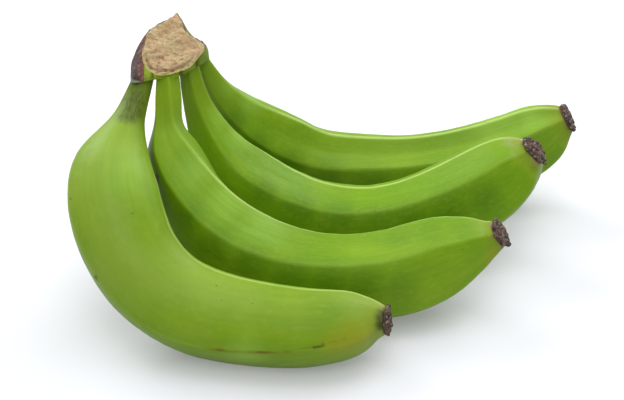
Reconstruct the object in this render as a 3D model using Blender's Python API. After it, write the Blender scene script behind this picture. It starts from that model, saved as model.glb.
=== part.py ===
"""A hand of green plantains: four fruits that hang from one cut crown, lying on their bellies.

The model is in metres with +Z up. Its origin is on the surface it lies on, under the middle of its box.
Sizes below are in millimetres, and MM turns them into metres.
"""

import math

import bmesh
import bpy
import numpy as np
from mathutils import Vector

MM = 0.001
TO_ORIGIN = (1.7, 0, 0)  # moves the points below so that their box stands over the origin
GAP = 0.3  # clear space between neighbouring pieces

# Each fruit is a row of points along its middle, from the stalk's top to the blunt end: x, y, z and the
# distance out to its ridges. "ridges" are the ridge lines' places round the section, in degrees from
# "up", turning towards the front: a row at the stalk's top, one halfway along and one at the blunt end.
# "flat" is how far the side between two ridges lies inside the circle through them.
PLANTAINS = {
    "1": {
        "middle": [
            (-102.3, 11.8, 115.2, 5.4),
            (-106.6, 6, 104, 6.8),
            (-109.9, -2, 96.5, 8.4),
            (-112.3, -9, 91, 11.5),
            (-117, -29, 78, 21.7),
            (-115, -46, 63, 24.7),
            (-104.7, -61.2, 44.3, 24.2),
            (-83.2, -71.2, 26.8, 23.5),
            (-46, -82, 20.8, 22),
            (-8, -86, 21.6, 18.7),
            (8, -83, 22.6, 14.9),
            (15, -83, 23.7, 10.6),
            (20, -84, 24.2, 7.3),
        ],
        "up": (0.6, 0.3, 0.9),
        "ridges": [(0, 137, 190, 245, 300), (-6, 128, 196, 248, 300), (2, 108, 185, 243, 302)],
        "flat": 0.07,
    },
    "2": {
        "middle": [
            (-90.6, 9.3, 114.4, 6.2),
            (-90.7, 4, 103, 7.1),
            (-90.7, -1.8, 92, 8.2),
            (-88.8, -7.5, 82, 13.6),
            (-78, -20, 60, 19.4),
            (-59, -32, 40, 22.6),
            (-30, -39, 26, 23.4),
            (-1, -42, 22.5, 23.5),
            (29, -39.4, 24.5, 24),
            (50, -34, 30.4, 22.2),
            (62, -32, 35.4, 18.2),
            (70, -31.5, 38.9, 13.8),
            (76, -31, 41.3, 10),
            (80, -31.5, 43.8, 7.8),
        ],
        "up": (0, 0, 1),
        "ridges": [(126, 198, 270, 342, 414), (48, 120, 192, 264, 336), (48, 128, 194, 264, 336)],
        "flat": 0.11,
    },
    "3": {
        "middle": [
            (-81, 25, 119, 5),
            (-79.9, 23.5, 109, 5.9),
            (-77.6, 23, 96, 7.4),
            (-71.4, 21, 77, 12),
            (-60, 18, 55, 20.2),
            (-39, 15, 37, 22.8),
            (-14, 13, 26, 23.4),
            (10, 13, 22.8, 23.4),
            (43, 18, 27, 23.2),
            (76, 26, 38.8, 24.2),
            (92.3, 29, 50.6, 20.3),
            (99.9, 29.6, 57.4, 14.6),
            (104, 28.8, 61.6, 8.3),
        ],
        "up": (0, 0, 1),
        "ridges": [(85, 157, 229, 301, 373), (43, 115, 187, 259, 331), (43, 115, 187, 259, 331)],
        "flat": 0.11,
    },
    "4": {
        "middle": [
            (-78.4, 37.2, 116.5, 4.4),
            (-74.2, 39.5, 107.5, 5.4),
            (-70.5, 41, 98, 7.4),
            (-62.5, 47.4, 80.4, 12.9),
            (-43, 59, 54.2, 22.4),
            (-18, 69, 33.8, 24.5),
            (9, 75, 25.5, 25.2),
            (36, 78, 22.6, 25.3),
            (70, 82, 26.2, 24.8),
            (102.3, 85, 37.2, 23),
            (118, 86, 46.4, 19.2),
            (125.5, 86, 51.6, 13.8),
            (130.3, 85.5, 54.8, 8.7),
        ],
        "up": (0, 0, 1),
        "ridges": [(40, 128, 195, 260, 330), (12, 61, 133, 205, 285), (12, 61, 133, 205, 285)],
        "flat": 0.11,
    },
}
RINGS = 46  # rings of vertices along a fruit
STEPS = 5  # sides from one ridge to the next
LINE_POINTS = 400  # points of the middle line that the rings are picked from
CURVE_POINTS = 2000  # points that the smooth curve is measured with
KNOT_POWER = 0.75  # keeps the smooth curve from swinging out where its points are close

# The crown's cut face is a plane that rises away from the front. Each row holds a point of its rim, as x
# and the distance up the slope, and the point below it at the crown's foot, as x, y and z.
CUT_FOOT_Y = 3
CUT_FOOT_Z = 117.6
CUT_SLOPE = 30  # degrees
CROWN_RIM_AND_FOOT = [
    (-87, 40.5, -86, 45.5, 105),
    (-84, 35.5, -79.5, 46, 106),
    (-82, 29.3, -74.4, 45.8, 108),
    (-78.5, 25.5, -71, 43, 110),
    (-74, 22.6, -70.6, 36.5, 112),
    (-71, 18.4, -72, 28, 113.8),
    (-74.5, 11.5, -74, 20, 115),
    (-79, 5, -78.5, 12, 115.3),
    (-84, 2.6, -83.3, 5.5, 115.5),
    (-89, 0.6, -88, 2.4, 115.5),
    (-94.5, 0, -94, 2.1, 115.2),
    (-98.5, 2, -99.2, 1.7, 115),
    (-102, 5.7, -104.8, 2.2, 113.8),
    (-104, 12, -109.4, 5, 112.4),
    (-104, 20, -110.6, 11.5, 110.8),
    (-103, 26.3, -109.4, 19.5, 108.6),
    (-100.5, 30, -105.8, 27, 106.8),
    (-96.5, 33.5, -101, 33, 105.6),
    (-93, 36, -96.5, 38, 105),
    (-89.3, 38.5, -91.5, 42.5, 104.8),
]
CROWN_BULGE = 1.3  # how far its side swells out halfway up
BACK_BULGE = 2.4  # and how much more it does so at the back
LEFT_BULGE = 1.7  # and at the left
CROWN_LEVELS = 6
UNDERSIDE_RINGS = (0.45, 0.8)  # shares of the way from its middle to its foot
CUT_RINGS = 6
CUT_WAVES = [(0.35, 0.2, 0, 0.4), (-0.25, 0.45, 1, 0.4)]  # along x, along y, start and height
SOCKET_SHARE = 0.1  # the share of a fruit's length that its socket in the crown is cut for
SOCKET_RINGS = 6

BLOSSOM_SIDES = 24
BLOSSOM_PROFILE = [(0.9, 0), (1, 0.7), (0.93, 1.7), (0.68, 2.2), (0.34, 1.7)]  # share of the end, height
BLOSSOM_PIT = 1.3
BLOSSOM_WAVES = [(2, 0.05, 1), (3, 0.07, 2.3), (8, 0.04, 0.6)]  # lobes, share of the radius and start
BLOSSOM_TURN = 1.7  # radians that each next fruit's waves are turned by
BLOSSOM_TILT = 0.15  # the share by which one side is higher than the other

SMOOTH_UNDER = 40  # degrees between faces that are shaded as one surface

PEEL = (0.19, 0.36, 0.03)
CUT_TISSUE = (0.62, 0.46, 0.26)
DRY_FLOWER = (0.055, 0.035, 0.028)


def clear_scene():
    for obj in list(bpy.data.objects):
        bpy.data.objects.remove(obj, do_unlink=True)


def principled(name, colour, roughness):
    material = bpy.data.materials.new(name)
    material.use_nodes = True
    shader = material.node_tree.nodes["Principled BSDF"]
    shader.inputs["Base Color"].default_value = (*colour, 1)
    shader.inputs["Roughness"].default_value = roughness
    shader.inputs["Metallic"].default_value = 0
    material.diffuse_color = (*colour, 1)
    return material


def cubic_bends(knots, points):
    """Second derivatives of the natural cubic curve through the points."""
    count = len(knots)
    steps = np.diff(knots)
    matrix = np.zeros((count, count))
    right = np.zeros(points.shape)
    matrix[0, 0] = matrix[-1, -1] = 1
    for i in range(1, count - 1):
        matrix[i, i - 1] = steps[i - 1]
        matrix[i, i] = 2 * (steps[i - 1] + steps[i])
        matrix[i, i + 1] = steps[i]
        right[i] = 6 * ((points[i + 1] - points[i]) / steps[i] - (points[i] - points[i - 1]) / steps[i - 1])
    return np.linalg.solve(matrix, right)


def smooth_curve(points, shares):
    """The natural cubic curve through the points, read at shares of its length."""
    points = np.array(points, float)
    chords = np.linalg.norm(np.diff(points[:, :3], axis=0), axis=1)
    knots = np.concatenate([[0], np.cumsum(chords**KNOT_POWER)])
    bends = cubic_bends(knots, points)
    at = np.linspace(0, knots[-1], CURVE_POINTS)
    k = np.clip(np.searchsorted(knots, at) - 1, 0, len(knots) - 2)
    before = (at - knots[k])[:, None]
    after = (knots[k + 1] - at)[:, None]
    step = (knots[k + 1] - knots[k])[:, None]
    fine = (bends[k] * after**3 + bends[k + 1] * before**3) / (6 * step)
    fine += (points[k] / step - bends[k] * step / 6) * after
    fine += (points[k + 1] / step - bends[k + 1] * step / 6) * before
    walked = np.linalg.norm(np.diff(fine[:, :3], axis=0), axis=1)
    walked = np.concatenate([[0], np.cumsum(walked)])
    wanted = np.asarray(shares) * walked[-1]
    return np.stack([np.interp(wanted, walked, column) for column in fine.T], axis=1)


def frames_along(middle, up):
    """Tangent, upward and sideways directions at each point, carried along without twist."""
    along = np.gradient(middle, axis=0)
    along /= np.linalg.norm(along, axis=1)[:, None]
    upward = np.zeros_like(along)
    centre = len(middle) // 2
    up = np.array(up, float)

    def level(direction, i):
        direction = direction - along[i] * (along[i] @ direction)
        return direction / np.linalg.norm(direction)

    upward[centre] = level(up, centre)
    for i in range(centre + 1, len(middle)):
        upward[i] = level(upward[i - 1], i)
    for i in range(centre - 1, -1, -1):
        upward[i] = level(upward[i + 1], i)
    return along, upward, np.cross(along, upward)


def ridge_places(rows, shares):
    """The ridges' angles at each share of the length, in degrees, on a curve through the three rows."""
    at_stalk, halfway, at_end = np.array(rows, float)
    share = shares[:, None]
    stalk_weight = (1 - share) * (1 - 2 * share)
    end_weight = share * (2 * share - 1)
    return at_stalk * stalk_weight + halfway * 4 * share * (1 - share) + at_end * end_weight


def ridge_section(ridges, flat):
    """Angles round each section and the share of the ridge radius there, with a vertex on every ridge."""
    widths = np.roll(ridges, -1, axis=1) - ridges
    widths[:, -1] += 360
    across = np.arange(STEPS) / STEPS
    angles = ridges[:, :, None] + widths[:, :, None] * across
    radii = np.tile(1 - flat * (1 - (2 * across - 1) ** 2), ridges.shape[1])
    return np.radians(angles).reshape(len(ridges), -1), radii


def plantain_rings(fruit, shares, grow=0.0):
    """Rings of points round the fruit's middle line, in millimetres, and its directions along."""
    shares = np.asarray(shares)
    line = smooth_curve(fruit["middle"], np.linspace(0, 1, LINE_POINTS))
    along, upward, sideways = frames_along(line[:, :3], fruit["up"])
    pick = np.round(shares * (len(line) - 1)).astype(int)
    line, along, upward, sideways = line[pick], along[pick], upward[pick], sideways[pick]
    angles, radii = ridge_section(ridge_places(fruit["ridges"], shares), fruit["flat"])
    reach = (line[:, 3:4] * radii[None, :] + grow)[..., None]
    round_it = np.cos(angles)[..., None] * upward[:, None] + np.sin(angles)[..., None] * sideways[:, None]
    return line[:, None, :3] + reach * round_it, along


def tube_mesh(name, rings, first_cap, last_cap):
    """A closed mesh through the rings. A cap is a point for a fan of triangles."""
    mesh = bpy.data.meshes.new(name)
    work = bmesh.new()
    shift = np.array(TO_ORIGIN)
    rows = [[work.verts.new(Vector(point) * MM) for point in ring + shift] for ring in rings]
    sides = len(rows[0])
    for lower, upper in zip(rows, rows[1:]):
        for j in range(sides):
            k = (j + 1) % sides
            work.faces.new((lower[j], lower[k], upper[k], upper[j]))
    for row, cap in ((rows[0], first_cap), (rows[-1], last_cap)):
        tip = work.verts.new(Vector(cap + shift) * MM)
        for j in range(sides):
            work.faces.new((row[j], row[(j + 1) % sides], tip))
    bmesh.ops.recalc_face_normals(work, faces=work.faces)
    if work.calc_volume(signed=True) < 0:
        bmesh.ops.reverse_faces(work, faces=work.faces)
    work.to_mesh(mesh)
    work.free()
    return mesh


def flatten_foot(mesh):
    """Cuts the mesh off level with the surface it lies on, which leaves a small flat spot."""
    work = bmesh.new()
    work.from_mesh(mesh)
    geometry = work.verts[:] + work.edges[:] + work.faces[:]
    bmesh.ops.bisect_plane(work, geom=geometry, plane_co=(0, 0, 0), plane_no=(0, 0, -1), clear_outer=True)
    open_edges = [edge for edge in work.edges if edge.is_boundary]
    if open_edges:
        bmesh.ops.contextual_create(work, geom=open_edges)
    bmesh.ops.recalc_face_normals(work, faces=work.faces)
    work.to_mesh(mesh)
    work.free()


def add_object(name, mesh, material):
    obj = bpy.data.objects.new(name, mesh)
    bpy.context.scene.collection.objects.link(obj)
    mesh.materials.append(material)
    mesh.shade_smooth()
    mesh.set_sharp_from_angle(angle=math.radians(SMOOTH_UNDER))
    return obj


def add_plantain(number, fruit, material):
    rings, _ = plantain_rings(fruit, np.linspace(0, 1, RINGS))
    name = f"plantain_{number}"
    mesh = tube_mesh(name, rings, rings[0].mean(axis=0), rings[-1].mean(axis=0))
    flatten_foot(mesh)
    return add_object(name, mesh, material)


def add_blossom_end(number, fruit, material):
    """The dried remains of the flower: a ragged button with a pit, on the fruit's blunt end."""
    rings, along = plantain_rings(fruit, [1.0])
    way = along[-1]
    seat = rings[-1].mean(axis=0) + way * GAP
    radius = fruit["middle"][-1][3]
    side = np.cross(way, (0, 0, 1))
    side /= np.linalg.norm(side)
    over = np.cross(side, way)
    angles = np.linspace(0, 2 * math.pi, BLOSSOM_SIDES, endpoint=False)
    turned = angles + BLOSSOM_TURN * int(number)
    ragged = 1 + sum(height * np.sin(lobes * turned + start) for lobes, height, start in BLOSSOM_WAVES)
    button = []
    for share, height in BLOSSOM_PROFILE:
        reach = radius * share * (ragged if height else np.ones(BLOSSOM_SIDES))
        lift = height * (1 + BLOSSOM_TILT * np.sin(turned))
        ring = seat + np.cos(angles)[:, None] * side * reach[:, None]
        ring += np.sin(angles)[:, None] * over * reach[:, None] + way * lift[:, None]
        button.append(ring)
    name = f"blossom_end_{number}"
    mesh = tube_mesh(name, button, seat, seat + way * BLOSSOM_PIT)
    return add_object(name, mesh, material)


def cut_point(x, slope_distance):
    """The point of the cut plane at this x and this far up its slope."""
    slope = math.radians(CUT_SLOPE)
    y = CUT_FOOT_Y + slope_distance * math.cos(slope)
    z = CUT_FOOT_Z + slope_distance * math.sin(slope)
    return np.array([x, y, z])


def closed_outline(points):
    """The hand-set points with one more between each two, on a smooth closed curve."""
    points = np.array(points, float)
    before, after, beyond = np.roll(points, 1, 0), np.roll(points, -1, 0), np.roll(points, -2, 0)
    between = (-before + 9 * points + 9 * after - beyond) / 16
    return np.stack([points, between], axis=1).reshape(-1, points.shape[1])


def cut_relief(points):
    """Height of the fibrous cut face above its plane, by a formula."""
    x, y = points[:, 0], points[:, 1]
    return sum(height * np.sin(by_x * x + by_y * y + start) for by_x, by_y, start, height in CUT_WAVES)


def add_crown(plantains, material):
    """The pad that joins the stalks: from its foot round their tops up to the rim of the sloping cut."""
    outline = closed_outline(CROWN_RIM_AND_FOOT)
    rim = np.array([cut_point(x, distance) for x, distance in outline[:, :2]])
    foot = outline[:, 2:]
    centre = foot.mean(axis=0)
    outward = foot - centre
    outward[:, 2] = 0
    outward /= np.linalg.norm(outward, axis=1)[:, None]
    rings = []
    for inward in UNDERSIDE_RINGS:
        rings.append(centre + (foot - centre) * inward)
    swell = CROWN_BULGE + BACK_BULGE * np.clip(outward[:, 1:2], 0, 1)
    swell += LEFT_BULGE * np.clip(-outward[:, 0:1], 0, 1)
    for level in np.linspace(0, 1, CROWN_LEVELS):
        rings.append(foot + (rim - foot) * level + outward * swell * math.sin(math.pi * level))
    cut_centre = rim.mean(axis=0)
    slope = math.radians(CUT_SLOPE)
    normal = np.array([0, -math.sin(slope), math.cos(slope)])
    for k in range(1, CUT_RINGS):
        flat_ring = cut_centre + (rim - cut_centre) * (1 - k / CUT_RINGS)
        rings.append(flat_ring + normal * cut_relief(flat_ring)[:, None])
    mesh = tube_mesh("crown", rings, centre, cut_centre)
    crown = add_object("crown", mesh, material)
    for number, fruit in plantains.items():
        cut_socket(crown, number, fruit)
    return crown


def cut_socket(crown, number, fruit):
    """Takes the room of one stalk's top out of the crown, with the gap round it."""
    rings, along = plantain_rings(fruit, np.linspace(0, SOCKET_SHARE, SOCKET_RINGS), grow=GAP)
    rings[0] -= along[0] * GAP
    mesh = tube_mesh(f"socket_{number}", rings, rings[0].mean(axis=0), rings[-1].mean(axis=0))
    cutter = bpy.data.objects.new(f"socket_{number}", mesh)
    bpy.context.scene.collection.objects.link(cutter)
    cutter.hide_render = True
    cutter.display_type = "WIRE"
    socket = crown.modifiers.new(f"socket_{number}", "BOOLEAN")
    socket.operation = "DIFFERENCE"
    socket.solver = "EXACT"
    socket.object = cutter


def main():
    clear_scene()
    peel = principled("peel", PEEL, 0.42)
    tissue = principled("cut_tissue", CUT_TISSUE, 0.9)
    dry = principled("dry_flower", DRY_FLOWER, 0.85)
    for number, fruit in PLANTAINS.items():
        add_plantain(number, fruit, peel)
        add_blossom_end(number, fruit, dry)
    add_crown(PLANTAINS, tissue)


main()
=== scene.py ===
"""A hand of green plantains on a pale studio floor: four ridged fruits that hang from one cut crown.

Places are in millimetres in the model's own frame, and MM turns them into metres. The middle lines, the
ridges and the crown's outline repeat the solid model's own named values; this file adds the fine surface.
"""

import math

import bpy
import numpy as np
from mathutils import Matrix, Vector, noise


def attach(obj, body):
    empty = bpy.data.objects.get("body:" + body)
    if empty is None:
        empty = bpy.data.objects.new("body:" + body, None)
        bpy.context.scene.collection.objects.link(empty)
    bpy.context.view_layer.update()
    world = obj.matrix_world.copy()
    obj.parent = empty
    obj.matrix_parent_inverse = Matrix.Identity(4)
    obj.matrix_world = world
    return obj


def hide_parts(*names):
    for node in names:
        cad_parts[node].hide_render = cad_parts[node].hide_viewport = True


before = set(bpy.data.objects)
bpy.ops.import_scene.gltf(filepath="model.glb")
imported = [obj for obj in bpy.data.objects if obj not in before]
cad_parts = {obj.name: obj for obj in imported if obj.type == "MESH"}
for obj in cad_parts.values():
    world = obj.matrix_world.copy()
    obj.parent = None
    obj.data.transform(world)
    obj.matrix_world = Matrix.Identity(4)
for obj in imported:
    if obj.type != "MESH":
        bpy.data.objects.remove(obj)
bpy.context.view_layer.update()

MM = 0.001
TO_ORIGIN = (1.7, 0, 0)  # moves the points below so that their box stands over the origin

# Each fruit is a row of points along its middle, from the stalk's top to the blunt end: x, y, z and the
# distance out to its ridges. "ridges" are the ridge lines' places round the section, in degrees from
# "up", turning towards the front: a row at the stalk's top, one halfway along and one at the blunt end.
# "flat" is how far the side between two ridges lies inside the circle through them. "hidden_top" is how
# far the stalk goes on inside the crown. "warmth" takes the peel's green from deep, 0, to yellowish, 1.
# "rim_highlight_line" is where a painted highlight runs along the upper edge, placed as a ridge is.
# "pattern_start" is where along the peel's pattern the fruit begins, so that no two repeat.
PLANTAINS = {
    "1": {
        "middle": [
            (-102.3, 11.8, 115.2, 5.4),
            (-106.6, 6, 104, 6.8),
            (-109.9, -2, 96.5, 8.4),
            (-112.3, -9, 91, 11.5),
            (-117, -29, 78, 21.7),
            (-115, -46, 63, 24.7),
            (-104.7, -61.2, 44.3, 24.2),
            (-83.2, -71.2, 26.8, 23.5),
            (-46, -82, 20.8, 22),
            (-8, -86, 21.6, 18.7),
            (8, -83, 22.6, 14.9),
            (15, -83, 23.7, 10.6),
            (20, -84, 24.2, 7.3),
        ],
        "up": (0.6, 0.3, 0.9),
        "ridges": [(0, 137, 190, 245, 300), (-6, 128, 196, 248, 300), (2, 108, 185, 243, 302)],
        "flat": 0.07,
        "hidden_top": 1.5,
        "rim_highlight_line": (-15, 1, 5),
        "pattern_start": 70,
        "warmth": 1,
    },
    "2": {
        "middle": [
            (-90.6, 9.3, 114.4, 6.2),
            (-90.7, 4, 103, 7.1),
            (-90.7, -1.8, 92, 8.2),
            (-88.8, -7.5, 82, 13.6),
            (-78, -20, 60, 19.4),
            (-59, -32, 40, 22.6),
            (-30, -39, 26, 23.4),
            (-1, -42, 22.5, 23.5),
            (29, -39.4, 24.5, 24),
            (50, -34, 30.4, 22.2),
            (62, -32, 35.4, 18.2),
            (70, -31.5, 38.9, 13.8),
            (76, -31, 41.3, 10),
            (80, -31.5, 43.8, 7.8),
        ],
        "up": (0, 0, 1),
        "ridges": [(126, 198, 270, 342, 414), (48, 120, 192, 264, 336), (48, 128, 194, 264, 336)],
        "flat": 0.11,
        "hidden_top": 2.5,
        "rim_highlight_line": (414, 336, 336),
        "pattern_start": 280,
        "warmth": 0.1,
    },
    "3": {
        "middle": [
            (-81, 25, 119, 5),
            (-79.9, 23.5, 109, 5.9),
            (-77.6, 23, 96, 7.4),
            (-71.4, 21, 77, 12),
            (-60, 18, 55, 20.2),
            (-39, 15, 37, 22.8),
            (-14, 13, 26, 23.4),
            (10, 13, 22.8, 23.4),
            (43, 18, 27, 23.2),
            (76, 26, 38.8, 24.2),
            (92.3, 29, 50.6, 20.3),
            (99.9, 29.6, 57.4, 14.6),
            (104, 28.8, 61.6, 8.3),
        ],
        "up": (0, 0, 1),
        "ridges": [(85, 157, 229, 301, 373), (43, 115, 187, 259, 331), (43, 115, 187, 259, 331)],
        "flat": 0.11,
        "hidden_top": 6,
        "rim_highlight_line": (-9, -20, -24),
        "pattern_start": 630,
        "warmth": 0,
    },
    "4": {
        "middle": [
            (-78.4, 37.2, 116.5, 4.4),
            (-74.2, 39.5, 107.5, 5.4),
            (-70.5, 41, 98, 7.4),
            (-62.5, 47.4, 80.4, 12.9),
            (-43, 59, 54.2, 22.4),
            (-18, 69, 33.8, 24.5),
            (9, 75, 25.5, 25.2),
            (36, 78, 22.6, 25.3),
            (70, 82, 26.2, 24.8),
            (102.3, 85, 37.2, 23),
            (118, 86, 46.4, 19.2),
            (125.5, 86, 51.6, 13.8),
            (130.3, 85.5, 54.8, 8.7),
        ],
        "up": (0, 0, 1),
        "ridges": [(40, 128, 195, 260, 330), (12, 61, 133, 205, 285), (12, 61, 133, 205, 285)],
        "flat": 0.11,
        "hidden_top": 9,
        "rim_highlight_line": (40, 12, 12),
        "pattern_start": 1120,
        "warmth": 0.25,
    },
}
LINE_POINTS = 1200  # points of the middle line that the rings are picked from
CURVE_POINTS = 4000  # points that the smooth curve is measured with
KNOT_POWER = 0.75  # keeps the smooth curve from swinging out where its points are close
RINGS = 330  # rings of vertices along a fruit
FACET_SIDES = 28  # sides of the mesh from one ridge to the next
RIDGE_ROUND = 0.05  # share of a side's width over which it rounds into a ridge
HOLLOW = 0.025  # how much deeper than the solid's the sides between two ridges are
CREST_HEIGHT = 0.1  # how far a ridge's own line stands up
CREST_WIDTH = 1.3  # how far from the ridge that line has faded to a third
SWELLS = [(38, 2, 0.45), (9, 3, 0.16)]  # size, octaves and height of the peel's unevenness
SWELLS_FULL_FROM = 15  # the radius from which a fruit has all of that unevenness
SWELLS_LEAST = 0.2  # the share that the thinnest places keep
TOP_RINGS = 8  # rings of a stalk's top inside the crown
TOP_TAPER = 0.5  # how much of its radius a stalk loses inside the crown

# The crown's cut face is a plane that rises away from the front. Each row holds a point of its rim, as x
# and the distance up the slope, and the point below it at the crown's foot, as x, y and z.
CUT_FOOT_Y = 3
CUT_FOOT_Z = 117.6
CUT_SLOPE = 30  # degrees
CROWN_RIM_AND_FOOT = [
    (-87, 40.5, -86, 45.5, 105),
    (-84, 35.5, -79.5, 46, 106),
    (-82, 29.3, -74.4, 45.8, 108),
    (-78.5, 25.5, -71, 43, 110),
    (-74, 22.6, -70.6, 36.5, 112),
    (-71, 18.4, -72, 28, 113.8),
    (-74.5, 11.5, -74, 20, 115),
    (-79, 5, -78.5, 12, 115.3),
    (-84, 2.6, -83.3, 5.5, 115.5),
    (-89, 0.6, -88, 2.4, 115.5),
    (-94.5, 0, -94, 2.1, 115.2),
    (-98.5, 2, -99.2, 1.7, 115),
    (-102, 5.7, -104.8, 2.2, 113.8),
    (-104, 12, -109.4, 5, 112.4),
    (-104, 20, -110.6, 11.5, 110.8),
    (-103, 26.3, -109.4, 19.5, 108.6),
    (-100.5, 30, -105.8, 27, 106.8),
    (-96.5, 33.5, -101, 33, 105.6),
    (-93, 36, -96.5, 38, 105),
    (-89.3, 38.5, -91.5, 42.5, 104.8),
]
CROWN_BULGE = 1.3  # how far the wall stands out halfway up
BACK_BULGE = 2.4  # more of it at the back
LEFT_BULGE = 1.7  # and on the left
FRONT_WAY = (0.6, -0.8)  # the way that the low side of the rim faces, seen from above
FRONT_SPREAD = 0.3
OUTLINE_ROUNDS = 4  # each doubles the outline's points
WALL_RINGS = 34
CUT_RINGS = 60
UNDERSIDE_RINGS = (0.25, 0.5, 0.75, 0.92)
FRONT_INSET = 2  # how far the wall under the front rim stands back, so that the stalks show right up to it
CUT_WAVES = [(0.35, 0.2, 0, 0.4), (-0.25, 0.45, 1, 0.4)]  # along x, along y, start and height
CUT_GRAIN = [(7, 3, 0.9), (2.4, 4, 0.75)]  # size, octaves and height of the torn fibres
CUT_EDGE = 1.5  # the relief of the cut grows over this distance from its rim
WALL_GRAIN = [(5, 3, 0.35)]
WALL_STRETCH = (1, 1, 0.35)  # draws the wall's grain out up and down
RIM_GRAIN = [(1.8, 3, 0.45)]  # tears the rim
TORN_FROM = 12  # how far up the slope the tearing starts to grow
TORN_OVER = 8
TORN_LEAST = 0.15
TORN_RISE = 0.7  # how far the torn rim stands up for each millimetre that it stands out
GROOVE_FROM_RIM = 2.8  # a lip runs along the lower rim, and this groove parts it from the rest of the cut
GROOVE_WIDTH = 0.8
GROOVE_DEPTH = 0.9
GROOVE_BELOW = 15  # how far up the slope the groove ends
GROOVE_FADE = 6
GROOVE_WANDER = [(6, 2, 1)]
UNDERSIDE_FROM_RIM = 15  # how far the underside counts as being from the rim
CREASES = (-98, -83.2, -75.8)  # where the crown's front wall is creased between two stalks, along x
CREASE_WIDTH = 0.8
CREASE_DEPTH = 0.9
DRY_EDGE = -102.3  # the crown's skin is dried up left of this

BLOSSOM_SIDES = 120
# The button's outline from its seat to its pit: share of the fruit's end radius, and height.
BLOSSOM_PROFILE = [(0.9, 0), (1, 0.7), (0.93, 1.7), (0.68, 2.2), (0.34, 1.7), (0.02, 1.3)]
BLOSSOM_FINE = 8  # rings for each step of the profile
# Lobes, their height as a share of the radius, and where they start.
BLOSSOM_WAVES = [(2, 0.06, 1), (3, 0.08, 2.3), (7, 0.06, 0.6), (13, 0.035, 2)]
BLOSSOM_TURN = 1.7  # turns each button further than the one before, in radians
BLOSSOM_TILT = 0.15
BLOSSOM_GRAIN = [(3.2, 3, 1), (1.1, 3, 0.45)]
BLOSSOM_ROUGH_FROM = 0.7  # the height from which a button has all of its roughness
GAP = 0.3  # clear space between a fruit and its button

# Marks on the peel, each a place on the surface and how far it spreads.
# Small brown stains, and the dark smudges beside the first and third fruit's dried flower.
STAINS = [(-120.3, -77.7, 44.9, 2.6), (-94.2, -23.8, 72.4, 5.5)]
SMUDGES = [(21, -88.5, 29.2, 8), (20.5, -91.5, 26.5, 7), (104, 23, 54, 7)]
# The dark streaks low on the first fruit: two ends, how many spots make up a streak, and their spread.
STREAKS = [
    ((-21, -106, 21.6), (-12, -105.3, 22.9), 12, 0.9),
    ((-13.5, -105.6, 22.5), (-8.6, -104.7, 23.5), 8, 1.6),
    ((-7.5, -104.5, 23.8), (0.6, -102.2, 25.4), 14, 0.8),
    ((0.4, -102.2, 25.2), (1.4, -102, 25.5), 2, 1.2),
]
# Where the first fruit's lower ridge is browned, where peel turns yellow, and where it is greyish.
WORN = [(-56.6, -101.8, 18.5, 16), (-39, -104.9, 19.4, 16), (-22, -105.8, 21.7, 13)]
YELLOWING = [(5, -101, 24.2, 15), (11, -98.5, 23.8, 13), (-3, -103, 23.5, 11), (79, -40, 34, 9)]
BLOOM = [(100, 32, 67.5, 9), (94, 31, 67.5, 9)]
# The torn grey-brown skin on the first fruit's stalk.
SCURF = [(-107, 6, 111.5, 10), (-106, -1, 106.2, 12), (-106, -6, 102.5, 11), (-109, -10, 100, 9)]
# Broad areas of painted light: painted sheen on faces turned up to the light, painted shade on faces
# turned down and away from it, and a lighter painted shade where less light reaches.
PAINTED_SHEEN = [
    (-107, -45, 83, 26),
    (-46, -102, 16, 16),
    (-71.4, -25.4, 77.7, 16),
    (-56.1, -32.3, 64.1, 20),
    (-40.8, -39, 53.2, 20),
    (-63.2, 20.6, 87.1, 13),
    (-52.8, 20.9, 75.2, 15),
    (-58.6, 40.8, 95.5, 12),
    (-48.1, 45.2, 84.6, 14),
    (93.1, 79.5, 56.4, 26),
    (109.8, 77.4, 58.7, 18),
]
# Painted shade on the fruits' lower faces.
PAINTED_SHADE = [
    (-76, -41.9, 60.6, 15),
    (-63.2, -50.4, 48, 17),
    (-45.6, -56, 39.6, 19),
    (-25.4, -60, 32, 21),
    (-5.2, -63, 29, 21),
    (12.4, -63, 28, 20),
    (30, -62, 27, 17),
    (-39.1, -2.2, 54.1, 14),
    (-20.7, -3.7, 44.1, 18),
    (0.6, -5, 37, 20),
    (21.9, -6, 34, 22),
    (38, -5, 34, 23),
    (59.5, -1, 37, 23),
    (78, 3, 43, 17),
    (-56.1, 36, 76.9, 11),
    (-42.8, 37.1, 61.3, 13),
    (-26.5, 41.3, 46.9, 17),
    (-4.2, 47, 36, 20),
    (18.4, 52, 29, 20),
]
# A lighter painted shade where less light reaches.
PAINTED_HALF_SHADE = [
    (-84.8, -6.2, 96.8, 14),
    (30.8, -37.1, 46.3, 20),
    (46.1, -36.6, 49, 21),
    (61.6, -33.6, 50.3, 19),
    (-3, -93, 36, 22),
]
MARKS = {
    "pale": PAINTED_SHEEN,
    "deep": PAINTED_SHADE,
    "painted_half_shade": PAINTED_HALF_SHADE,
    "stain": STAINS,
    "smudge": SMUDGES,
    "worn": WORN,
    "yellow": YELLOWING,
    "bloom": BLOOM,
    "scurf": SCURF,
}
# Painted sheen and painted shade on the peel.
PAINTED_LIGHT_AREAS = {  # how much of the colour the area takes, and that colour
    "pale": (0.65, (131, 170, 63)),
    "deep": (0.7, (58, 98, 1)),
    "painted_half_shade": (0.4, (62, 104, 2)),
}
PATTERN_RADIUS = 22  # of the straight tube that the peel's pattern is laid on

CAMERA_TARGET = (-14.3, 13, 40)
CAMERA_DISTANCE = 900
CAMERA_ELEVATION = 28  # degrees
CAMERA_LENS = 96.06
CAMERA_SENSOR = 36

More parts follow.
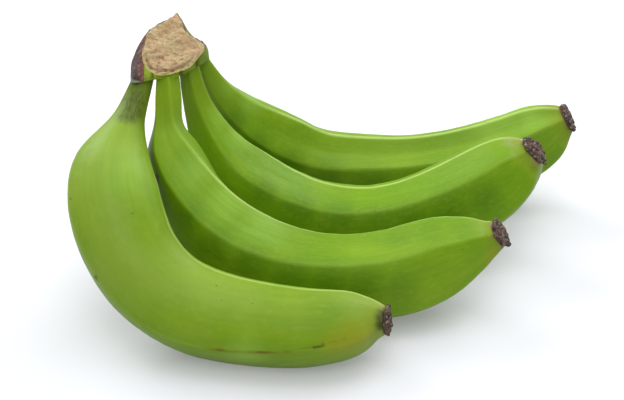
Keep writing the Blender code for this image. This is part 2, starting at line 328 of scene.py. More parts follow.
FLOOR_SIZE = 9000
FLOOR_GLOW = 0.22  # lifts the floor towards white, also in the shadows
WORLD_LIGHT = (0.45, 0.65)  # at the horizon and overhead
SOFTBOXES = {  # place, size and watts
    "over": ((0, 0, 1300), 1200, 10.5),
    "back_left": ((-700, 700, 800), 700, 10.5),
    "back_right": ((700, 700, 800), 700, 7.5),
    "front": ((0, -800, 900), 600, 4),
}


def srgb(red, green, blue):
    """A colour as a screen shows it, 0 to 255, as the linear values that a shader takes."""
    linear = []
    for value in (red, green, blue):
        share = value / 255
        linear.append(share / 12.92 if share < 0.04045 else ((share + 0.055) / 1.055) ** 2.4)
    return (*linear, 1)


# Shapes


def cubic_bends(knots, points):
    """Second derivatives of the natural cubic curve through the points."""
    count = len(knots)
    steps = np.diff(knots)
    matrix = np.zeros((count, count))
    right = np.zeros(points.shape)
    matrix[0, 0] = matrix[-1, -1] = 1
    for i in range(1, count - 1):
        matrix[i, i - 1] = steps[i - 1]
        matrix[i, i] = 2 * (steps[i - 1] + steps[i])
        matrix[i, i + 1] = steps[i]
        right[i] = 6 * ((points[i + 1] - points[i]) / steps[i] - (points[i] - points[i - 1]) / steps[i - 1])
    return np.linalg.solve(matrix, right)


def smooth_curve(points, shares):
    """The natural cubic curve through the points, read at shares of its length, and that length."""
    points = np.array(points, float)
    chords = np.linalg.norm(np.diff(points[:, :3], axis=0), axis=1)
    knots = np.concatenate([[0], np.cumsum(chords**KNOT_POWER)])
    bends = cubic_bends(knots, points)
    at = np.linspace(0, knots[-1], CURVE_POINTS)
    k = np.clip(np.searchsorted(knots, at) - 1, 0, len(knots) - 2)
    before = (at - knots[k])[:, None]
    after = (knots[k + 1] - at)[:, None]
    step = (knots[k + 1] - knots[k])[:, None]
    fine = (bends[k] * after**3 + bends[k + 1] * before**3) / (6 * step)
    fine += (points[k] / step - bends[k] * step / 6) * after
    fine += (points[k + 1] / step - bends[k + 1] * step / 6) * before
    walked = np.linalg.norm(np.diff(fine[:, :3], axis=0), axis=1)
    walked = np.concatenate([[0], np.cumsum(walked)])
    wanted = np.asarray(shares) * walked[-1]
    return np.stack([np.interp(wanted, walked, column) for column in fine.T], axis=1), walked[-1]


def frames_along(middle, up):
    """Tangent, upward and sideways directions at each point, carried along without twist."""
    along = np.gradient(middle, axis=0)
    along /= np.linalg.norm(along, axis=1)[:, None]
    upward = np.zeros_like(along)
    centre = len(middle) // 2
    up = np.array(up, float)

    def level(direction, i):
        direction = direction - along[i] * (along[i] @ direction)
        return direction / np.linalg.norm(direction)

    upward[centre] = level(up, centre)
    for i in range(centre + 1, len(middle)):
        upward[i] = level(upward[i - 1], i)
    for i in range(centre - 1, -1, -1):
        upward[i] = level(upward[i + 1], i)
    return along, upward, np.cross(along, upward)


def grain(points, layers):
    """The height of uneven layers at each point. A layer is its size, its octaves and its height."""
    total = np.zeros(len(points))
    for size, octaves, height in layers:
        values = [noise.fractal(Vector(point) / size, 1, 2, octaves) for point in points]
        total += height * np.array(values)
    return total


def ridge_places(rows, shares):
    """The ridges' angles at each share of the length, in degrees, on a curve through the three rows."""
    at_stalk, halfway, at_end = np.array(rows, float)
    share = shares[:, None]
    stalk_weight = (1 - share) * (1 - 2 * share)
    end_weight = share * (2 * share - 1)
    return at_stalk * stalk_weight + halfway * 4 * share * (1 - share) + at_end * end_weight


def ridge_section(ridges, flat):
    """Angles round each section, the share of the ridge radius there, and the angle to the next ridge."""
    widths = np.roll(ridges, -1, axis=1) - ridges
    widths[:, -1] += 360
    across = np.arange(FACET_SIDES) / FACET_SIDES
    near = np.minimum(across, 1 - across)
    rounded = np.hypot(near, RIDGE_ROUND) - RIDGE_ROUND
    angles = ridges[:, :, None] + widths[:, :, None] * across
    radii = np.tile(1 - flat * 4 * rounded * (1 - rounded), ridges.shape[1])
    to_ridge = widths[:, :, None] * near
    return np.radians(angles).reshape(len(ridges), -1), radii, np.radians(to_ridge).reshape(len(ridges), -1)


def closed_mesh(name, rings, first_cap, last_cap):
    """A closed mesh through the rings of points, in metres. A cap is a point for a fan of triangles."""
    count, sides = rings.shape[:2]
    points = np.concatenate([rings.reshape(-1, 3), [first_cap], [last_cap]]) + np.array(TO_ORIGIN)
    j = np.arange(sides)
    k = (j + 1) % sides
    quads = []
    for i in range(count - 1):
        low, high = i * sides, (i + 1) * sides
        quads.append(np.stack([low + j, low + k, high + k, high + j], axis=1))
    last = (count - 1) * sides
    first_fan = np.stack([k, j, np.full(sides, count * sides)], axis=1)
    last_fan = np.stack([last + j, last + k, np.full(sides, count * sides + 1)], axis=1)
    faces = np.concatenate(quads).tolist() + first_fan.tolist() + last_fan.tolist()
    mesh = bpy.data.meshes.new(name)
    mesh.from_pydata((points * MM).tolist(), [], faces)
    mesh.shade_smooth()
    return mesh


def outward_faces(mesh):
    """Turns the faces round if the mesh is inside out."""
    mesh.calc_loop_triangles()
    points = np.empty(len(mesh.vertices) * 3)
    mesh.vertices.foreach_get("co", points)
    corners = np.empty(len(mesh.loop_triangles) * 3, int)
    mesh.loop_triangles.foreach_get("vertices", corners)
    a, b, c = points.reshape(-1, 3)[corners.reshape(-1, 3)].transpose(1, 0, 2)
    if np.einsum("ij,ij->i", a, np.cross(b, c)).sum() < 0:
        mesh.flip_normals()


def give_values(mesh, name, values):
    """Stores one number, or one direction, at each vertex for the materials. The caps repeat the ends."""
    values = np.asarray(values, np.float32)
    flat = values.reshape(-1, values.shape[-1]) if values.ndim == 3 else values.reshape(-1)
    flat = np.concatenate([flat, flat[:1], flat[-1:]])
    if values.ndim == 3:
        mesh.attributes.new(name, "FLOAT_VECTOR", "POINT").data.foreach_set("vector", flat.ravel())
    else:
        mesh.attributes.new(name, "FLOAT", "POINT").data.foreach_set("value", flat)


def spread_of(points, marks):
    """How strongly the marks reach each point: 1 at a mark's middle, 0 at its edge and beyond."""
    reach = np.zeros(points.shape[:-1])
    for x, y, z, radius in marks:
        distance = np.linalg.norm(points + np.array(TO_ORIGIN) - (x, y, z), axis=-1)
        share = np.clip(1 - distance / radius, 0, 1)
        reach = np.maximum(reach, share * share * (3 - 2 * share))
    return reach


def spots_between(first, last, count, radius):
    """Marks in a row from the first place to the last."""
    return [(*place, radius) for place in np.linspace(first, last, count)]


def add_piece(name, mesh, material, node):
    """Gives the piece its finish, links it, lets it ride on the body, and hides the solid it stands for."""
    outward_faces(mesh)
    mesh.materials.append(material)
    piece = bpy.data.objects.new(name, mesh)
    bpy.context.scene.collection.objects.link(piece)
    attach(piece, "root")
    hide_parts(node)
    return piece


def plantain_form(fruit):
    """Rings of points on the peel, the way along at each ring, and what the materials need."""
    line, length = smooth_curve(fruit["middle"], np.linspace(0, 1, LINE_POINTS))
    along, upward, sideways = frames_along(line[:, :3], fruit["up"])
    pick = np.round(np.linspace(0, 1, RINGS) * (LINE_POINTS - 1)).astype(int)
    shares = pick / (LINE_POINTS - 1)
    line, along, upward, sideways = line[pick], along[pick], upward[pick], sideways[pick]
    radius = line[:, 3:4]
    angles, radii, to_ridge = ridge_section(ridge_places(fruit["ridges"], shares), fruit["flat"] + HOLLOW)
    outward = np.cos(angles)[..., None] * upward[:, None] + np.sin(angles)[..., None] * sideways[:, None]
    surface = line[:, None, :3] + (radius * radii)[..., None] * outward
    ridge_way = radius * to_ridge
    uneven = grain(surface.reshape(-1, 3), SWELLS).reshape(angles.shape)
    crest = CREST_HEIGHT * np.exp(-((ridge_way / CREST_WIDTH) ** 2))
    fade = np.clip(radius / SWELLS_FULL_FROM, SWELLS_LEAST, 1)
    surface += ((uneven + crest) * fade)[..., None] * outward
    surface[..., 2] = np.maximum(surface[..., 2], 0)
    # Where the painted rim highlight runs round each section.
    rim_highlight_places = np.radians(ridge_places([[place] for place in fruit["rim_highlight_line"]], shares))
    turn = (angles - rim_highlight_places + math.pi) % (2 * math.pi) - math.pi
    shares = np.repeat(shares[:, None], angles.shape[1], axis=1)
    values = {
        "along": shares,
        "to_end": (1 - shares) * length,
        "ridge_way": ridge_way,
        "rim_highlight_way": radius * np.abs(turn),
        "peel_place": pattern_places(shares * length + fruit["pattern_start"]),
    }
    return surface, along, values


def pattern_places(lengthwise):
    """Where each point lies in the peel's pattern: on a straight tube, so that fibres run lengthwise."""
    around = np.linspace(0, 2 * math.pi, lengthwise.shape[1], endpoint=False) * np.ones_like(lengthwise)
    return np.stack([lengthwise, PATTERN_RADIUS * np.cos(around), PATTERN_RADIUS * np.sin(around)], axis=2)


def hidden_top(surface, along, reach):
    """Rings that carry the stalk on into the crown, with a taper."""
    middle = surface[0].mean(axis=0)
    rings = []
    for k in range(TOP_RINGS, 0, -1):
        share = k / TOP_RINGS
        rings.append(middle - along[0] * reach * share + (surface[0] - middle) * (1 - TOP_TAPER * share))
    return np.array(rings)


def add_plantain(number, fruit, form, material):
    """One fruit's peel, from its stalk's hidden top to its blunt end, with its marks."""
    surface, along, values = form
    rings = np.concatenate([hidden_top(surface, along, fruit["hidden_top"]), surface])
    mesh = closed_mesh(f"plantain_{number}_peel", rings, rings[0].mean(axis=0), rings[-1].mean(axis=0))
    for name, value in values.items():
        top = np.repeat(value[:1], TOP_RINGS, axis=0)
        give_values(mesh, name, np.concatenate([top, value]))
    give_values(mesh, "warmth", np.full(rings.shape[:2], fruit["warmth"]))
    streak_spots = [spot for streak in STREAKS for spot in spots_between(*streak)]
    for name, marks in (*MARKS.items(), ("streak", streak_spots)):
        give_values(mesh, name, spread_of(rings, marks))
    return add_piece(mesh.name, mesh, material, f"plantain_{number}")


def add_blossom_end(number, fruit, form, material):
    """The dried remains of the flower: a ragged, pitted button on the fruit's blunt end."""
    surface, along, _ = form
    way = along[-1]
    seat = surface[-1].mean(axis=0) + way * GAP
    radius = fruit["middle"][-1][3]
    side = np.cross(way, (0, 0, 1))
    side /= np.linalg.norm(side)
    over = np.cross(side, way)
    angles = np.linspace(0, 2 * math.pi, BLOSSOM_SIDES, endpoint=False)
    turned = angles + BLOSSOM_TURN * int(number)
    ragged = 1 + sum(height * np.sin(lobes * turned + start) for lobes, height, start in BLOSSOM_WAVES)
    corners = np.arange(len(BLOSSOM_PROFILE))
    steps = np.linspace(0, corners[-1], BLOSSOM_FINE * corners[-1] + 1)
    shares = np.interp(steps, corners, [share for share, _ in BLOSSOM_PROFILE])
    heights = np.interp(steps, corners, [height for _, height in BLOSSOM_PROFILE])
    button = []
    for share, height in zip(shares, heights):
        reach = radius * share * ragged
        lift = height * (1 + BLOSSOM_TILT * np.sin(turned))
        ring = seat + np.cos(angles)[:, None] * side * reach[:, None]
        ring += np.sin(angles)[:, None] * over * reach[:, None] + way * lift[:, None]
        button.append(ring)
    button = np.array(button)
    outward = button - (seat - way * radius / 2)
    outward /= np.linalg.norm(outward, axis=2)[..., None]
    rough = grain(button.reshape(-1, 3), BLOSSOM_GRAIN).reshape(button.shape[:2])
    rough *= np.clip(heights / BLOSSOM_ROUGH_FROM, 0, 1)[:, None]
    button += rough[..., None] * outward
    mesh = closed_mesh(f"blossom_end_{number}_dry", button, seat, button[-1].mean(axis=0))
    give_values(mesh, "height", np.repeat(heights[:, None], BLOSSOM_SIDES, axis=1) + rough)
    return add_piece(mesh.name, mesh, material, f"blossom_end_{number}")


def cut_point(x, slope_distance):
    """The point of the cut plane at this x and this far up its slope."""
    slope = math.radians(CUT_SLOPE)
    y = CUT_FOOT_Y + slope_distance * math.cos(slope)
    z = CUT_FOOT_Z + slope_distance * math.sin(slope)
    return np.array([x, y, z])


def closed_outline(points, rounds):
    """The given points with more between them, on a smooth closed curve."""
    points = np.array(points, float)
    for _ in range(rounds):
        before, after, beyond = np.roll(points, 1, 0), np.roll(points, -1, 0), np.roll(points, -2, 0)
        between = (-before + 9 * points + 9 * after - beyond) / 16
        points = np.stack([points, between], axis=1).reshape(-1, points.shape[1])
    return points


def cut_relief(points):
    """Height of the cut face's slow waves above its plane."""
    x, y = points[:, 0], points[:, 1]
    return sum(height * np.sin(by_x * x + by_y * y + start) for by_x, by_y, start, height in CUT_WAVES)


def crown_wall(foot, rim, outward, swell, crease):
    """Rings from the crown's foot up to its rim, with a swell, an uneven skin and creases."""
    rings = []
    for level in np.linspace(0, 1, WALL_RINGS):
        fade = math.sin(math.pi * level)
        ring = foot + (rim - foot) * level + outward * swell * fade
        relief = grain(ring * WALL_STRETCH, WALL_GRAIN) - CREASE_DEPTH * crease
        rings.append(ring + outward * (relief * fade)[:, None])
    return np.array(rings)


def crown_cut(rim, up_slope):
    """Rings from the rim in to the middle of the cut, each point's way from the rim, and the groove."""
    low = np.clip((GROOVE_BELOW - up_slope) / GROOVE_FADE, 0, 1)
    centre = rim.mean(axis=0)
    slope = math.radians(CUT_SLOPE)
    normal = np.array([0, -math.sin(slope), math.cos(slope)])
    rings, from_rim, groove = [], [], []
    for k in range(1, CUT_RINGS):
        ring = rim + (centre - rim) * k / CUT_RINGS
        way = np.linalg.norm(ring - rim, axis=1)
        wander = way + grain(ring, GROOVE_WANDER)
        in_groove = np.exp(-(((wander - GROOVE_FROM_RIM) / GROOVE_WIDTH) ** 2)) * low
        height = (cut_relief(ring) + grain(ring, CUT_GRAIN)) * np.clip(way / CUT_EDGE, 0, 1)
        height -= GROOVE_DEPTH * in_groove
        rings.append(ring + normal * height[:, None])
        from_rim.append(way)
        groove.append(in_groove)
    return np.array(rings), np.array(from_rim), np.array(groove)


def add_crown(material):
    """The pad that joins the stalks: its underside, its wall up to the rim, and the torn, sloping cut."""
    outline = closed_outline(CROWN_RIM_AND_FOOT, OUTLINE_ROUNDS)
    up_cut = outline[:, 1]
    rim = np.array([cut_point(x, distance) for x, distance in outline[:, :2]])
    foot = outline[:, 2:]
    centre = foot.mean(axis=0)
    outward = foot - centre
    outward[:, 2] = 0
    outward /= np.linalg.norm(outward, axis=1)[:, None]
    front = np.clip(outward[:, :2] @ FRONT_WAY + FRONT_SPREAD, 0, 1)
    backward = np.clip(outward[:, 1], 0, 1)
    foot = foot - outward * (FRONT_INSET * front)[:, None]
    swell = CROWN_BULGE + BACK_BULGE * backward - FRONT_INSET * front
    swell += LEFT_BULGE * np.clip(-outward[:, 0], 0, 1)
    crease = sum(np.exp(-(((foot[:, 0] - x) / CREASE_WIDTH) ** 2)) for x in CREASES) * front
    torn = grain(rim, RIM_GRAIN) * np.clip((up_cut - TORN_FROM) / TORN_OVER, TORN_LEAST, 1)
    rim = rim + outward * torn[:, None]
    rim[:, 2] += TORN_RISE * torn
    underside = np.array([centre + (foot - centre) * inward for inward in UNDERSIDE_RINGS])
    wall = crown_wall(foot, rim, outward, swell[:, None], crease)
    cut, cut_from_rim, groove = crown_cut(rim, up_cut)
    rings = np.concatenate([underside, wall, cut])
    mesh = closed_mesh("crown_flesh", rings, centre, rim.mean(axis=0))
    skin = np.zeros((len(underside) + len(wall), len(rim)))
    underside_from_rim = np.full(underside.shape[:2], UNDERSIDE_FROM_RIM)
    wall_from_rim = np.linalg.norm(rim - wall, axis=2)
    values = {
        "cut": np.concatenate([skin, np.ones(cut.shape[:2])]),
        "edge": np.concatenate([underside_from_rim, wall_from_rim, cut_from_rim]),
        "groove": np.concatenate([skin, groove]),
        "up_slope": (rings[..., 2] - CUT_FOOT_Z) / math.sin(math.radians(CUT_SLOPE)),
        "leftward": DRY_EDGE - rings[..., 0],
        "crease": np.tile(crease, (len(rings), 1)),
        "backward": np.tile(backward, (len(rings), 1)),
    }
    for name, value in values.items():
        give_values(mesh, name, value)
    return add_piece(mesh.name, mesh, material, "crown")


# Materials


class Surface:
    """A Principled material whose nodes are added one short call at a time."""

    def __init__(self, name, roughness):
        self.material = bpy.data.materials.new(name)
        self.material.use_nodes = True
        self.tree = self.material.node_tree
        self.shader = self.tree.nodes["Principled BSDF"]
        self.shader.inputs["Roughness"].default_value = roughness

    def node(self, kind, inputs, **settings):
        made = self.tree.nodes.new(kind)
        for name, value in settings.items():
            setattr(made, name, value)
        for key, value in inputs.items():
            if isinstance(value, bpy.types.NodeSocket):
                self.tree.links.new(value, made.inputs[key])
            else:
                made.inputs[key].default_value = value
        return made

    def attribute(self, name, output="Fac"):
        return self.node("ShaderNodeAttribute", {}, attribute_name=name).outputs[output]

    def position(self):
        return self.node("ShaderNodeNewGeometry", {}).outputs["Position"]

    def stretched(self, vector, scale):
        return self.node("ShaderNodeMapping", {"Vector": vector, "Scale": scale}).outputs["Vector"]

    def noise(self, vector, scale, detail=3.0, roughness=0.55):
        inputs = {"Vector": vector, "Scale": scale, "Detail": detail, "Roughness": roughness}
        return self.node("ShaderNodeTexNoise", inputs).outputs["Fac"]

    def spots(self, vector, scale):
        inputs = {"Vector": vector, "Scale": scale}
        return self.node("ShaderNodeTexVoronoi", inputs).outputs["Distance"]

    def between(self, value, low, high, to_low=0.0, to_high=1.0):
        """The value's smooth way from low to high, as to_low to to_high."""
        inputs = {"Value": value, "From Min": low, "From Max": high, "To Min": to_low, "To Max": to_high}
        return self.node("ShaderNodeMapRange", inputs, interpolation_type="SMOOTHSTEP").outputs["Result"]

    def maths(self, operation, first, second):
        return self.node("ShaderNodeMath", {0: first, 1: second}, operation=operation).outputs["Value"]

    def times(self, first, second):
        return self.maths("MULTIPLY", first, second)

    def mix(self, share, first, second):
        """The first colour, with this share of the second one mixed in."""
        inputs = {0: share, 6: first, 7: second}
        return self.node("ShaderNodeMix", inputs, data_type="RGBA").outputs[2]

    def bump(self, height, strength, distance):
        inputs = {"Height": height, "Strength": strength, "Distance": distance * MM}
        self.link(self.node("ShaderNodeBump", inputs).outputs["Normal"], "Normal")

    def link(self, value, name):
        self.tree.links.new(value, self.shader.inputs[name])


def peel_greens(peel, place, position, fibres):
    """The green: blotches, clouds, fibres, mottling, painted sheen and shade, and a bloom with painted
    sheen.
    """
    warmth = peel.attribute("warmth")
    blotch = peel.between(peel.noise(position, 24, 3), 0.3, 0.7)
    deep = peel.mix(blotch, srgb(91, 130, 4), srgb(102, 138, 8))
    warm = peel.mix(blotch, srgb(98, 131, 6), srgb(108, 139, 10))
    colour = peel.mix(warmth, deep, warm)
    cloud = peel.noise(peel.stretched(place, (0.03, 0.09, 0.09)), 1, 3)
    colour = peel.mix(peel.between(cloud, 0.42, 0.7, 0, 0.3), colour, srgb(121, 146, 18))
    # Painted sheen on the upper faces and painted shade on the lower ones, softened by noise.
    soft = peel.between(peel.noise(position, 50, 2), 0.3, 0.7, 0.7, 1)
    for name, (share, shade) in PAINTED_LIGHT_AREAS.items():
        reach = peel.times(peel.attribute(name), soft)
        colour = peel.mix(peel.times(reach, share), colour, srgb(*shade))
    colour = peel.mix(peel.between(fibres, 0.42, 0.7, 0, 0.25), colour, srgb(79, 115, 2))
    mottle = peel.noise(peel.stretched(place, (0.25, 0.6, 0.6)), 1, 4, 0.65)
    colour = peel.mix(peel.between(mottle, 0.48, 0.68, 0, 0.2), colour, srgb(128, 158, 46))
    # A wax bloom on the warmer fruits that is also painted sheen: paler patches for a broad, soft highlight.
    bloom_and_painted_sheen = peel.times(warmth, peel.between(peel.noise(position, 14, 2), 0.4, 0.62, 0.1, 0.5))
    return peel.mix(bloom_and_painted_sheen, colour, srgb(122, 146, 56))


def peel_ridges(peel, colour, place):
    """Painted highlight on each ridge and the upper edge, broken brown, the first fruit's worn ridge."""
    ridge_way = peel.attribute("ridge_way")
    broken = peel.noise(peel.stretched(place, (0.08, 0.2, 0.2)), 1, 3)
    # Painted highlight: a faint paler line along every ridge's crest.
    colour = peel.mix(peel.between(ridge_way, 1.6, 0.2, 0, 0.25), colour, srgb(130, 162, 44))
    # Painted highlight: a paler line along each fruit's upper edge, fading in from the stalk, broken up.
    rim_highlight_line = peel.between(peel.attribute("rim_highlight_way"), 1.7, 0.2)
    rim_highlight_line = peel.times(rim_highlight_line, peel.between(peel.attribute("along"), 0.12, 0.3, 0, 0.65))
    rim_highlight_line = peel.times(rim_highlight_line, peel.between(broken, 0.2, 0.5, 0.5, 1))
    colour = peel.mix(rim_highlight_line, colour, srgb(164, 190, 104))
    browned = peel.times(peel.between(ridge_way, 0.9, 0.1), peel.between(broken, 0.45, 0.7, 0, 0.3))
    colour = peel.mix(browned, colour, srgb(92, 98, 18))
    worn_line = peel.times(peel.between(ridge_way, 1.5, 0.2), peel.between(broken, 0.3, 0.55, 0.2, 0.9))
    return peel.mix(peel.times(peel.attribute("worn"), worn_line), colour, srgb(95, 79, 13))


def peel_ageing(peel, colour, scurf, crackle, grey):
    """Dull stalks, yellowing, a greyish bloom and the torn skin called scurf."""
    stalk = peel.between(peel.attribute("along"), 0.2, 0.03, 0, 0.4)
    stalk_green = peel.mix(peel.attribute("warmth"), srgb(122, 142, 24), srgb(78, 90, 16))
    colour = peel.mix(stalk, colour, stalk_green)
    colour = peel.mix(peel.times(peel.attribute("yellow"), 0.55), colour, srgb(138, 131, 18))
    bloom = peel.times(peel.attribute("bloom"), peel.between(grey, 0.4, 0.6, 0.25, 0.8))
    colour = peel.mix(bloom, colour, srgb(141, 144, 105))
    torn = peel.mix(peel.between(crackle, 0.4, 0.6), srgb(50, 62, 16), srgb(88, 102, 36))
    return peel.mix(scurf, colour, torn)


def peel_spots(peel, colour, place, position, ragged):
    """Small dark specks, stains and the streaks."""
    speck = peel.between(peel.spots(peel.stretched(place, (0.16, 0.3, 0.3)), 1), 0.1, 0.05)
    rare = peel.between(peel.noise(position, 60, 1), 0.54, 0.68, 0, 0.8)
    colour = peel.mix(peel.times(speck, rare), colour, srgb(69, 66, 16))
    stain = peel.between(peel.times(peel.attribute("stain"), ragged), 0, 0.6, 0, 0.85)
    colour = peel.mix(stain, colour, srgb(62, 54, 28))
    streak = peel.times(peel.attribute("streak"), peel.between(ragged, 0, 1, 0.75, 1))
    return peel.mix(peel.between(streak, 0.05, 0.75, 0, 0.9), colour, srgb(62, 50, 12))


def peel_blunt_end(peel, colour, ragged):
    """The peel yellows towards the dried flower, has a tan ring round it, and is smudged dark in places."""
    to_end = peel.maths("ADD", peel.attribute("to_end"), peel.times(ragged, 2.5))
    colour = peel.mix(peel.between(to_end, 14, 3, 0, 0.4), colour, srgb(118, 126, 33))
    colour = peel.mix(peel.between(to_end, 2.8, 1.4, 0, 0.8), colour, srgb(123, 110, 72))
    smudge = peel.times(peel.attribute("smudge"), peel.between(ragged, 0, 1, 0.7, 1))
    return peel.mix(peel.between(smudge, 0, 0.9, 0, 0.92), colour, srgb(40, 44, 26))


def peel_material():
    """Waxy green peel with fine lengthwise fibres, lines on its ridges, and the photo's marks."""
    peel = Surface("peel", 0.42)
    place = peel.attribute("peel_place", "Vector")
    position = peel.position()
    fibres = peel.noise(peel.stretched(place, (0.02, 0.7, 0.7)), 1, 4, 0.6)
    crackle = peel.noise(peel.stretched(place, (0.22, 1.1, 1.1)), 1, 4, 0.7)
    grey = peel.noise(position, 260, 4, 0.65)
    ragged = peel.between(peel.noise(position, 300, 3, 0.6), 0.3, 0.65)
    scurf = peel.times(peel.attribute("scurf"), peel.between(grey, 0.3, 0.7, 0.6, 1))
    scurf = peel.between(scurf, 0, 0.75, 0, 0.88)
    colour = peel_greens(peel, place, position, fibres)
    colour = peel_ridges(peel, colour, place)
    colour = peel_ageing(peel, colour, scurf, crackle, grey)
    colour = peel_spots(peel, colour, place, position, ragged)
    colour = peel_blunt_end(peel, colour, ragged)
    peel.link(colour, "Base Color")
    peel.link(peel.between(fibres, 0.3, 0.7, 0.42, 0.52), "Roughness")
    pores = peel.noise(position, 900, 2)
    rough = peel.maths("ADD", peel.times(fibres, 0.5), peel.times(pores, 0.35))
    rough = peel.maths("ADD", rough, peel.times(peel.times(scurf, crackle), 3))
    peel.bump(rough, 0.2, 0.5)
    peel.shader.inputs["Specular IOR Level"].default_value = 0.14
    return peel.material


def torn_flesh(crown, position, edge, up_slope, fibre, pits):
    """The cut: tan, fibrous and pitted, with a browner groove, a grey rim above and a green one below."""
    patch = crown.between(crown.noise(position, 110, 2), 0.4, 0.62)
    colour = crown.mix(patch, srgb(162, 143, 104), srgb(166, 140, 103))
    warm = crown.between(crown.noise(position, 170, 2), 0.45, 0.6, 0, 0.5)
    colour = crown.mix(crown.times(crown.between(up_slope, 18, 32), warm), colour, srgb(165, 124, 82))
    colour = crown.mix(crown.between(fibre, 0.52, 0.72, 0, 0.45), colour, srgb(128, 103, 74))
    colour = crown.mix(crown.between(fibre, 0.46, 0.3, 0, 0.5), colour, srgb(188, 170, 136))
    colour = crown.mix(pits, colour, srgb(122, 92, 68))
    colour = crown.mix(crown.times(crown.attribute("groove"), 0.6), colour, srgb(118, 90, 60))
    wander = crown.maths("SUBTRACT", edge, crown.times(crown.noise(position, 350, 3), 1.6))
    grey_rim = crown.times(crown.between(up_slope, 14, 20), crown.between(wander, 0.3, -0.35, 0, 0.9))
    colour = crown.mix(grey_rim, colour, srgb(76, 68, 60))
    green_rim = crown.times(crown.between(up_slope, 16, 8), crown.between(wander, 1, -0.2, 0, 0.75))
    return crown.mix(green_rim, colour, srgb(146, 142, 62))


def crown_skin(crown, position, edge, up_slope, streaks):
    """Green wall skin, streaked, painted shade in creases, bruised at the back, browned under the rim."""
    patch = crown.between(crown.noise(position, 60, 2), 0.4, 0.6)
    skin = crown.mix(patch, srgb(126, 148, 18), srgb(116, 138, 12))
    skin = crown.mix(crown.between(streaks, 0.55, 0.7, 0, 0.35), skin, srgb(92, 98, 22))
    backward = crown.attribute("backward")
    skin = crown.mix(crown.times(backward, 0.8), skin, srgb(96, 130, 10))
    bruised = crown.noise(crown.stretched(position, (1, 1, 0.4)), 190, 4, 0.65)
    bruised = crown.times(backward, crown.between(bruised, 0.42, 0.62, 0.05, 0.65))
    skin = crown.mix(bruised, skin, srgb(96, 88, 40))
    # Painted shade: the creases between the stalks are darkened.
    skin = crown.mix(crown.times(crown.attribute("crease"), 0.85), skin, srgb(58, 62, 12))
    under_rim = crown.times(crown.between(up_slope, 14, 18), crown.between(edge, 4.5, 1.5))
    brown = crown.mix(crown.between(streaks, 0.4, 0.6), srgb(70, 58, 44), srgb(128, 108, 76))
    return crown.mix(under_rim, skin, brown)


def dried_strip(crown, up_slope, streaks):
    """The dark, dried left side: reddish to blackish brown with pale streaks and a grey-green foot."""
    leftward = crown.attribute("leftward")
    dried = crown.mix(crown.between(leftward, 1.5, 4.5), srgb(96, 54, 42), srgb(70, 54, 50))
    dried = crown.mix(crown.between(streaks, 0.5, 0.36, 0, 0.85), dried, srgb(42, 29, 28))
    dried = crown.mix(crown.between(streaks, 0.56, 0.66, 0, 0.6), dried, srgb(134, 112, 102))
    foot = crown.maths("ADD", up_slope, crown.times(streaks, 4))
    return crown.mix(crown.between(foot, -4, -5.5, 0, 0.85), dried, srgb(124, 128, 100))


def dried_share(crown, position, streaks):
    """1 on the dried left side and 0 elsewhere, with a ragged border that wanders more at the back."""
    border = crown.maths("ADD", crown.attribute("leftward"), crown.times(streaks, 1.6))
    blotched = crown.maths("SUBTRACT", crown.noise(position, 120, 3), 0.5)
    blotched = crown.times(crown.times(blotched, crown.attribute("backward")), 26)
    return crown.between(crown.maths("ADD", border, blotched), 0.5, 1.3)


def crown_material():
    """Torn, dried flesh on the cut, green skin on the wall and a dark dried left side."""
    crown = Surface("cut_tissue", 0.85)
    position = crown.position()
    edge = crown.attribute("edge")
    up_slope = crown.attribute("up_slope")
    fibre = crown.noise(crown.stretched(position, (1, 0.4, 0.6)), 700, 4, 0.65)
    streaks = crown.noise(crown.stretched(position, (1, 1, 0.18)), 500, 4, 0.65)
    pits = crown.between(crown.noise(position, 420, 3, 0.6), 0.52, 0.66, 0, 0.8)
    pits = crown.times(pits, crown.between(up_slope, 22, 6, 0.15, 1))
    cut = torn_flesh(crown, position, edge, up_slope, fibre, pits)
    skin = crown_skin(crown, position, edge, up_slope, streaks)
    wall = crown.mix(dried_share(crown, position, streaks), skin, dried_strip(crown, up_slope, streaks))
    crown.link(crown.mix(crown.between(crown.attribute("cut"), 0.2, 0.8), wall, cut), "Base Color")
    height = crown.maths("ADD", fibre, crown.times(streaks, 0.6))
    height = crown.maths("SUBTRACT", height, crown.times(pits, 0.5))
    crown.bump(height, 0.8, 0.9)
    return crown.material


def blossom_material():
    """Dry dark brown flower remains, with pale flecks on what stands up."""
    dry = Surface("dry_flower", 0.85)
    position = dry.position()
    colour = dry.mix(dry.between(dry.noise(position, 300, 3), 0.4, 0.6), srgb(30, 22, 20), srgb(78, 54, 42))
    flecks = dry.noise(position, 700, 3, 0.65)
    colour = dry.mix(dry.between(flecks, 0.53, 0.62, 0, 0.85), colour, srgb(138, 120, 104))
    colour = dry.mix(dry.between(dry.attribute("height"), 0.5, 0.1, 0, 0.7), colour, srgb(106, 88, 60))
    dry.link(colour, "Base Color")
    dry.bump(flecks, 0.8, 0.8)
    return dry.material


def floor_material():
    """A plain pale floor with a weak glow."""
    floor = Surface("pale_floor", 0.9)
    faint = floor.noise(floor.position(), 8, 2)
    floor.link(floor.mix(faint, srgb(182, 184, 188), srgb(185, 187, 191)), "Base Color")
    floor.shader.inputs["Specular IOR Level"].default_value = 0.1
    floor.shader.inputs["Emission Color"].default_value = (1, 1, 1, 1)
    floor.shader.inputs["Emission Strength"].default_value = FLOOR_GLOW
    return floor.material


# The studio


def add_floor():
    mesh = bpy.data.meshes.new("floor")
    half = FLOOR_SIZE / 2 * MM
    corners = [(-half, -half, 0), (half, -half, 0), (half, half, 0), (-half, half, 0)]
    mesh.from_pydata(corners, [], [(0, 1, 2, 3)])
    mesh.materials.append(floor_material())
    floor = bpy.data.objects.new("floor", mesh)
    bpy.context.scene.collection.objects.link(floor)


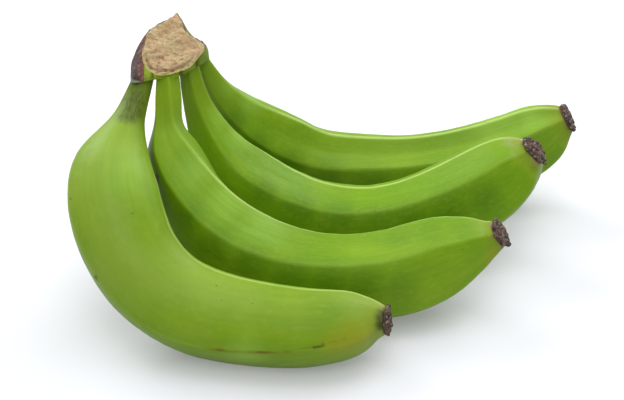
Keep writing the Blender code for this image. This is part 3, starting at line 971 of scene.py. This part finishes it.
def aimed(obj, place, target):
    """Puts the object at the place, looking at the target, both in millimetres."""
    place, target = Vector(place) * MM, Vector(target) * MM
    obj.location = place
    obj.rotation_mode = "QUATERNION"
    obj.rotation_quaternion = (target - place).to_track_quat("-Z", "Y")
    bpy.context.scene.collection.objects.link(obj)


def add_softbox(name, place, size, watts):
    light = bpy.data.lights.new(name, "AREA")
    light.shape = "SQUARE"
    light.size = size * MM
    light.energy = watts
    aimed(bpy.data.objects.new(name, light), place, CAMERA_TARGET)


def add_world():
    """A white surrounding that is brighter overhead than at the horizon."""
    world = bpy.data.worlds.new("studio")
    world.use_nodes = True
    tree = world.node_tree
    background = tree.nodes["Background"]
    background.inputs["Color"].default_value = (1, 1, 1, 1)
    direction = tree.nodes.new("ShaderNodeTexCoord")
    split = tree.nodes.new("ShaderNodeSeparateXYZ")
    ramp = tree.nodes.new("ShaderNodeMapRange")
    ramp.inputs["To Min"].default_value, ramp.inputs["To Max"].default_value = WORLD_LIGHT
    tree.links.new(direction.outputs["Generated"], split.inputs["Vector"])
    tree.links.new(split.outputs["Z"], ramp.inputs["Value"])
    tree.links.new(ramp.outputs["Result"], background.inputs["Strength"])
    bpy.context.scene.world = world


def add_camera():
    """The camera at the photo's angle."""
    rise = math.radians(CAMERA_ELEVATION)
    target = np.array(CAMERA_TARGET)
    place = target + CAMERA_DISTANCE * np.array([0, -math.cos(rise), math.sin(rise)])
    data = bpy.data.cameras.new("camera")
    data.lens = CAMERA_LENS
    data.sensor_width = CAMERA_SENSOR
    camera = bpy.data.objects.new("camera", data)
    aimed(camera, place, CAMERA_TARGET)
    bpy.context.scene.camera = camera


def main():
    peel = peel_material()
    dry = blossom_material()
    for number, fruit in PLANTAINS.items():
        form = plantain_form(fruit)
        add_plantain(number, fruit, form, peel)
        add_blossom_end(number, fruit, form, dry)
    add_crown(crown_material())
    add_floor()
    add_world()
    for name, (place, size, watts) in SOFTBOXES.items():
        add_softbox(name, place, size, watts)
    add_camera()
    bpy.context.scene.view_settings.view_transform = "Standard"


main()
